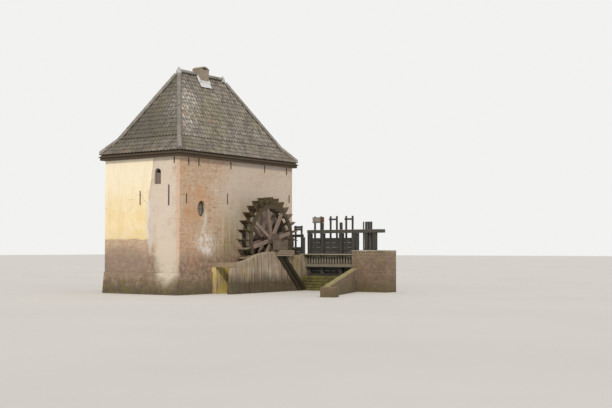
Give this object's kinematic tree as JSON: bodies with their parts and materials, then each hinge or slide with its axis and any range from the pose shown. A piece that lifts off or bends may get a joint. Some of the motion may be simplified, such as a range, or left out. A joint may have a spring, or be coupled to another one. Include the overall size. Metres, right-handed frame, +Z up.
{
  "type": "watermill",
  "caption": "Brick watermill with a steep hipped tile roof, an undershot wheel turning in a walled race, and a timber weir with sliding gates beside it.",
  "frame": {"origin": "foot of the wheel-side wall at water level, in the middle of its thickness, straight below the axle", "axes": "+X upstream along the wheel-side wall, +Y into the house, away from the stream, +Z up"},
  "size_m": [9.3022, 11.952, 11.2602],
  "materials": {
    "brick": "weathered hand-made brick in lime mortar",
    "plaster": "ochre limewashed render",
    "roof_tile": "grey-brown clay pantiles with lichen",
    "ridge_tile": "grey half-round caps bedded in mortar",
    "lead": "pale oxidised sheet lead",
    "iron": "rusted wrought iron",
    "stone": "pale weathered stone",
    "wet_stone": "wet rendered masonry with moss",
    "wheel_oak": "dark wet oak with moss",
    "weir_wood": "grey weathered oak",
    "grey_wood": "weathered boards",
    "eaves_wood": "dark stained boards"
  },
  "bodies": {
    "mill": {"wheel_side_wall": "brick", "downstream_wall": "brick", "land_side_wall": "brick", "upstream_wall": "brick", "splayed_foot": "brick", "plaster_coat": "plaster", "wall_anchors": "iron", "oculus_surrounds": "brick", "oculus_frames": "grey_wood", "arched_window_frames": "grey_wood", "door_frame": "grey_wood", "door_leaf": "grey_wood", "mill_floor": "grey_wood", "roof_wheel_side": "roof_tile", "roof_upstream": "roof_tile", "roof_land_side": "roof_tile", "roof_downstream": "roof_tile", "eaves": "eaves_wood", "wall_plates": "eaves_wood", "hip_caps": "ridge_tile", "ridge_cap": "ridge_tile", "finials": "lead", "chimney_stack": "brick", "chimney_cap": "stone", "chimney_lead": "lead", "race_outer_wall": "wet_stone", "race_lining": "wet_stone", "race_lintel": "wet_stone", "race_bed": "wet_stone", "bearing_sleeper": "weir_wood", "bearing_blocks": "weir_wood", "race_beam": "weir_wood", "weir_sill": "wet_stone", "weir_posts": "weir_wood", "weir_beam": "weir_wood", "weir_low_beam": "weir_wood", "weir_walkway": "weir_wood", "weir_rack": "weir_wood", "bank_boards": "weir_wood", "gate_keepers": "weir_wood", "abutment": "brick", "abutment_coping": "stone", "wing_wall": "wet_stone", "wing_end_block": "brick"},
    "wheel": {"axle": "wheel_oak", "gudgeons": "iron", "axle_hoops": "iron", "wheel_arms": "wheel_oak", "wheel_rims": "wheel_oak", "floats": "wheel_oak", "float_posts": "wheel_oak"},
    "gate_a": {"gate_a": "weir_wood"},
    "gate_b": {"gate_b": "weir_wood"},
    "gate_c": {"gate_c": "weir_wood"},
    "race_gate": {"race_gate": "weir_wood"}
  },
  "joints": [
    {"name": "wheel_turn", "type": "hinge", "parent": "mill", "child": "wheel", "pos_m": [0, 0, 2.54], "axis": [0, 1, 0], "continuous": true},
    {"name": "gate_a_lift", "type": "slide", "parent": "mill", "child": "gate_a", "axis": [0, 0, 1], "range_m": [0, 0.5]},
    {"name": "gate_b_lift", "type": "slide", "parent": "mill", "child": "gate_b", "axis": [0, 0, 1], "range_m": [0, 0.5]},
    {"name": "gate_c_lift", "type": "slide", "parent": "mill", "child": "gate_c", "axis": [0, 0, 1], "range_m": [0, 0.5]},
    {"name": "race_gate_lift", "type": "slide", "parent": "mill", "child": "race_gate", "axis": [0, 0, 1], "range_m": [0, 0.5]}
  ]
}
